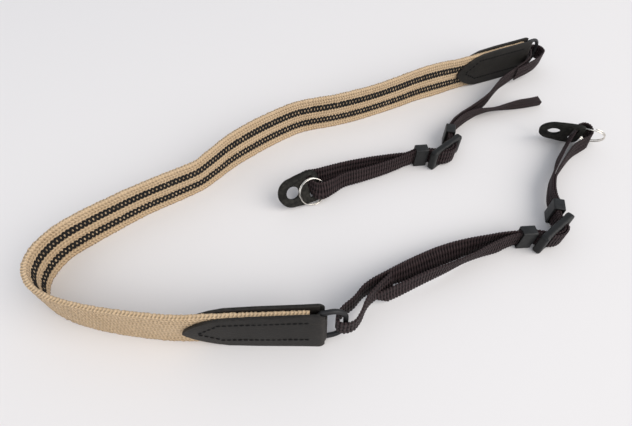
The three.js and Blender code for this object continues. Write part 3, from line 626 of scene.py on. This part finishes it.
path, length = pathCurve("cottonPath", cottonRows(), webbingWidth, webbingThickness, cotton["steps"])
webbing = strip("shoulderWebbing", length, webbingWidth, cotton["thick"], cotton)
stripes = []
linkCount = int(length / mm / chain["link"]) - 1
for side in (-1, 1):
    bpy.ops.object.select_all(action="DESELECT")
    bpy.ops.mesh.primitive_torus_add(
        major_segments=12, minor_segments=6, major_radius=chain["radius"] * mm,
        minor_radius=chain["yarn"] * mm, rotation=(90 * deg, 0, 0), location=(
            chain["link"] * mm, cotton["thick"] / 2 * mm, side * chain["webbingShare"] * webbingWidth * mm,
        ),
    )
    link = bpy.context.object
    bpy.ops.object.transform_apply(location=False, rotation=True, scale=False)
    link.scale = (1, chain["deep"], chain["wide"])
    bpy.ops.object.transform_apply(location=True, rotation=True, scale=True)
    applied(
        link, "ARRAY", count=linkCount, use_relative_offset=False, use_constant_offset=True,
        constant_offset_displace=(chain["link"] * mm, 0, 0),
    )
    stripes.append(link)
choose(stripes[0])
stripes[1].select_set(True)
bpy.ops.object.join()
stripe = stripes[0]
stripe.name = "webbingStripes"
flatUv(stripe)
stripePath = path.copy()
stripePath.data = path.data.copy()
bpy.context.scene.collection.objects.link(stripePath)
bent(stripe, stripePath)
bent(webbing, path)
dress(webbing, cottonMaterial, "cotton_webbing", "shoulder_webbing")
dress(stripe, stripeMaterial, "cotton_webbing")
print("cotton webbing", round(length / mm), "mm long,", linkCount, "links in a stripe")

# Nylon webbings, from the loop round the D-ring to the patch and back: millimetres or shares
ribs = {
    "row": 1.75, "waist": 0.42, "edge": 0.35, "scallop": 0.955, "along": 3, "across": 4, "lump": 1.5,
    "rough": 0.12, "steps": 12,
}


def placed(rows):
    return [
        {"x": x * layLength, "y": y * layDepth, "base": restLift + lift * nylonWidth, "tilt": (side, back)}
        for x, y, lift, side, back in rows
    ]


def beside(rows, left):
    moved = []
    for i, row in enumerate(rows):
        before, after = rows[max(i - 1, 0)], rows[min(i + 1, len(rows) - 1)]
        dx, dy = after["x"] - before["x"], after["y"] - before["y"]
        length = math.hypot(dx, dy)
        moved.append({**row, "x": row["x"] - left * dy / length, "y": row["y"] + left * dx / length})
    return moved


def keeperRows(buckle, keeper, layer):
    x, y = fromFrame(buckle, keeper["along"] * buckleLength, keeper["behind"] * buckleLength)
    heading = (buckle["heading"] + keeper["heading"]) * deg
    c, s = math.cos(heading), math.sin(heading)
    left = layer * layerStep / 2
    return [
        {
            "x": x + share * keeperLength * c - left * s, "y": y + share * keeperLength * s + left * c,
            "base": restLift, "tilt": (0, 0),
        }
        for share in (-0.5, 0, 0.5)
    ]


def bowRows(buckle, bow):
    rows = []
    for along, front in bow:
        x, y = fromFrame(buckle, along * buckleLength, -front * crest)
        rows.append({"x": x, "y": y, "base": restLift, "tilt": (0, 0)})
    return rows


def turnRows(patch, turn):
    c, s = math.cos(patch["heading"] * deg), math.sin(patch["heading"] * deg)
    patchLean = abs(patch["lean"]) * deg
    patchMiddle = patchWidth / 2 * math.cos(patchLean) + patchThickness / 2 * math.sin(patchLean)
    rows = []
    for along, behind, drop, side, lean in turn:
        x, y = fromFrame(patch, along * patchWidth, behind * patchWidth)
        back = lean * math.tan(patch["lean"] * deg)
        rows.append({
            "x": x, "y": y, "middle": patchMiddle - drop * patchWidth,
            "tilt": (side * c - back * s, side * s + back * c),
        })
    return rows


def loopRows(tab, loop, lift):
    barX, barY = fromFrame(tab, -foldRadius, 0)
    c, s = math.cos(tab["ringHeading"] * deg), math.sin(tab["ringHeading"] * deg)
    bowX, bowY = barX + ringDepth * c, barY + ringDepth * s
    return [
        {
            "x": bowX + ringDepth * (out * c - side * s), "y": bowY + ringDepth * (out * s + side * c),
            "base": restLift + lift * nylonWidth, "tilt": (0, back),
        }
        for out, side, back in loop
    ]


def nylonRows(end):
    lead, buckle = end["lead"], end["buckle"]
    mainRows, pairRows = placed(end["main"]), placed(end["pair"])
    lap = beside(mainRows[:2], -lead * layerStep)[0]
    ringKeeper, lugKeeper = keepers["left"], keepers["right"]
    if lead < 0:
        ringKeeper, lugKeeper = lugKeeper, ringKeeper
    # Rows through the buckle are given from left to right, so [::lead] runs away from the tab
    return (
        [lap]
        + loopRows(end["tab"], end["loop"], end["loopLift"])
        + mainRows
        + keeperRows(buckle, ringKeeper, 1)[::lead]
        + bowRows(buckle, bows["inner"])[::lead]
        + keeperRows(buckle, lugKeeper, 1)[::lead]
        + beside(pairRows, lead * layerStep / 2)
        + placed(end["out"])
        + turnRows(end["patch"], end["turn"])
        + placed(end["back"])
        + beside(pairRows, -lead * layerStep / 2)[::-1]
        + keeperRows(buckle, lugKeeper, -1)[::-lead]
        + bowRows(buckle, bows["outer"])[::-lead]
        + keeperRows(buckle, ringKeeper, -1)[::-lead]
        + placed(end["tail"])
    )


for name, end in ends.items():
    path, length = pathCurve(
        name + "NylonPath", nylonRows(end), nylonWidth, nylonThickness, ribs["steps"],
    )
    nylon = strip(name + "NylonWebbing", length + cutSlant / 2 * mm, nylonWidth, nylonThickness, ribs)
    # The tail is cut on a slant
    editAll(nylon)
    bpy.ops.mesh.bisect(
        plane_co=(length, 0, 0), plane_no=(nylonWidth, 0, -cutSlant * end["lead"]), use_fill=True,
        clear_outer=True,
    )
    objectMode()
    bent(nylon, path)
    dress(nylon, nylonMaterial, "nylon_webbing", name + "_nylon_webbing")
    print(name, "nylon webbing", round(length / mm), "mm long")

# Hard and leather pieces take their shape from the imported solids: sizes in millimetres
keeperLook = {"bevel": 0.4, "material": plasticMaterial, "slot": "plastic"}
hardPieces = {
    "leather_tab": {"name": "LeatherTab", "bevel": 0.35, "material": leatherMaterial, "slot": "leather"},
    "d_ring": {
        "name": "DRing", "levels": 2, "grow": 0.2, "material": enamelMaterial, "slot": "ring_enamel",
    },
    "split_ring": {"name": "SplitRing", "levels": 2, "material": nickelMaterial, "slot": "nickel"},
    "leather_patch": {
        "name": "LeatherPatch", "bevel": 0.4, "material": patchMaterial, "slot": "patch_leather",
    },
    "buckle": {
        "name": "Buckle", "voxel": 0.4, "grow": 0.6, "smooth": 9, "material": plasticMaterial,
        "slot": "plastic",
    },
    "ring_keeper": {**keeperLook, "name": "RingKeeper"},
    "lug_keeper": {**keeperLook, "name": "LugKeeper"},
}


def refined(node, name, look):
    obj = bpy.data.objects.new(name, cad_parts[node].data.copy())
    bpy.context.scene.collection.objects.link(obj)
    editAll(obj)
    bpy.ops.mesh.remove_doubles(threshold=0.005 * mm)
    bpy.ops.mesh.tris_convert_to_quads(face_threshold=12 * deg, shape_threshold=60 * deg)
    bpy.ops.mesh.normals_make_consistent(inside=False)
    objectMode()
    if "bevel" in look:
        applied(
            obj, "BEVEL", width=look["bevel"] * mm, segments=3, limit_method="ANGLE", angle_limit=35 * deg,
        )
    if "levels" in look:
        applied(obj, "SUBSURF", levels=look["levels"], render_levels=look["levels"])
    if "voxel" in look:
        applied(obj, "REMESH", mode="VOXEL", voxel_size=look["voxel"] * mm)
    if "grow" in look:
        applied(obj, "DISPLACE", strength=look["grow"] * mm, mid_level=0)
    if "smooth" in look:
        applied(obj, "SMOOTH", factor=0.5, iterations=look["smooth"])
    choose(obj)
    bpy.ops.object.shade_smooth_by_angle(angle=40 * deg)
    return obj


for name in ends:
    for node, look in hardPieces.items():
        solid = refined(name + "_" + node, name + look["name"], look)
        dress(solid, look["material"], look["slot"], name + "_" + node)
print("hardware and leather refined")

# Stitching on both faces of each tab: two rows that meet in a point near its tip, in millimetres
seam = {
    "pitch": 2.7, "top": 8.3, "bottom": -6.6, "from": 18, "to": 57.5, "tip": 7, "tipStitches": 4,
    "tipGap": 0.6, "long": 1.15, "wide": 0.6, "rise": 0.36, "sink": 0.02, "sway": 0.09,
}


def seamSpots():
    spots = []  # along the tab from its tip, up from its middle, and slope
    run = seam["to"] - seam["from"]
    steps = round(run / seam["pitch"])
    for i in range(steps + 1):
        at = seam["from"] + run * i / steps
        spots += [(at, seam["top"], 0), (at, seam["bottom"], 0)]
    point = seam["from"] - seam["tip"]
    for rise in (seam["top"], seam["bottom"]):
        for i in range(1, seam["tipStitches"] + 1):
            share = i / (seam["tipStitches"] + seam["tipGap"])
            spots.append((seam["from"] - point * share, rise * (1 - share), math.atan2(rise, point)))
    return spots


def tabStitches(name, tab):
    tipX, tipY = fromFrame(tab, -tabLength, 0)
    c, s = math.cos(tab["heading"] * deg), math.sin(tab["heading"] * deg)
    bpy.ops.object.select_all(action="DESELECT")
    stitches = None
    for face in (-1, 1):
        for at, rise, slope in seamSpots():
            out = face * (stitchedGap + leatherThickness + seam["sink"]) + tab["lean"] * at / tabLength * rise
            place = Vector((tipX + at * c - out * s, tipY + at * s + out * c, tabWidth / 2 + rise))
            bpy.ops.mesh.primitive_uv_sphere_add(
                segments=8, ring_count=5, radius=1, location=place * mm + shift,
                rotation=(0, -slope + random.uniform(-seam["sway"], seam["sway"]), tab["heading"] * deg),
                scale=(seam["long"] * mm, seam["rise"] * mm, seam["wide"] * mm),
            )
            if not stitches:  # the rest are added to the first one in edit mode
                stitches = bpy.context.object
                stitches.name = name
                bpy.ops.object.transform_apply(location=True, rotation=True, scale=True)
                bpy.ops.object.mode_set(mode="EDIT")
    objectMode()
    flatUv(stitches)
    choose(stitches)
    bpy.ops.object.shade_smooth()
    return stitches


for name, end in ends.items():
    dress(tabStitches(name + "TabStitches", end["tab"]), stitchMaterial, "leather")
print("tab stitches")

# Stage, light and camera, in metres
floorLook = {"size": 4, "color": (0.755, 0.735, 0.725), "rough": 0.9}
lights = {
    "key": {"place": (2.2, -1.1, 2.0), "size": 3.4, "power": 90, "color": (1, 0.95, 0.89)},
    "fill": {"place": (-0.9, -1.6, 1.2), "size": 1.4, "power": 9, "color": (1, 0.98, 0.96)},
}
sky = {"color": (0.86, 0.91, 1), "strength": 0.68}
view = {"place": (-0.028, -0.196, 0.2038), "tilt": 38, "focalPixels": 430, "framePixels": 632, "sensor": 36}

bpy.ops.object.select_all(action="DESELECT")
bpy.ops.mesh.primitive_plane_add(size=floorLook["size"], location=(0, 0, 0))
floor = bpy.context.object
floor.name = "floor"
floor.data.materials.append(newMaterial("paleFloor", floorLook)[0])

for name, look in lights.items():
    lamp = bpy.data.lights.new(name, "AREA")
    lamp.shape = "DISK"
    lamp.size = look["size"]
    lamp.energy = look["power"]
    lamp.color = look["color"]
    light = bpy.data.objects.new(name, lamp)
    bpy.context.scene.collection.objects.link(light)
    light.location = look["place"]
    light.rotation_euler = (-Vector(look["place"])).to_track_quat("-Z", "Y").to_euler()

world = bpy.context.scene.world or bpy.data.worlds.new("studio")
bpy.context.scene.world = world
world.use_nodes = True
background = world.node_tree.nodes["Background"]
background.inputs[0].default_value = (*sky["color"], 1)
background.inputs[1].default_value = sky["strength"]

bpy.context.scene.view_settings.view_transform = "Standard"
cameraData = bpy.data.cameras.new("camera")
cameraData.sensor_width = view["sensor"]
cameraData.lens = view["focalPixels"] / view["framePixels"] * view["sensor"]
camera = bpy.data.objects.new("camera", cameraData)
bpy.context.scene.collection.objects.link(camera)
camera.location = Vector(view["place"]) + shift
camera.rotation_euler = (view["tilt"] * deg, 0, 0)
bpy.context.scene.camera = camera
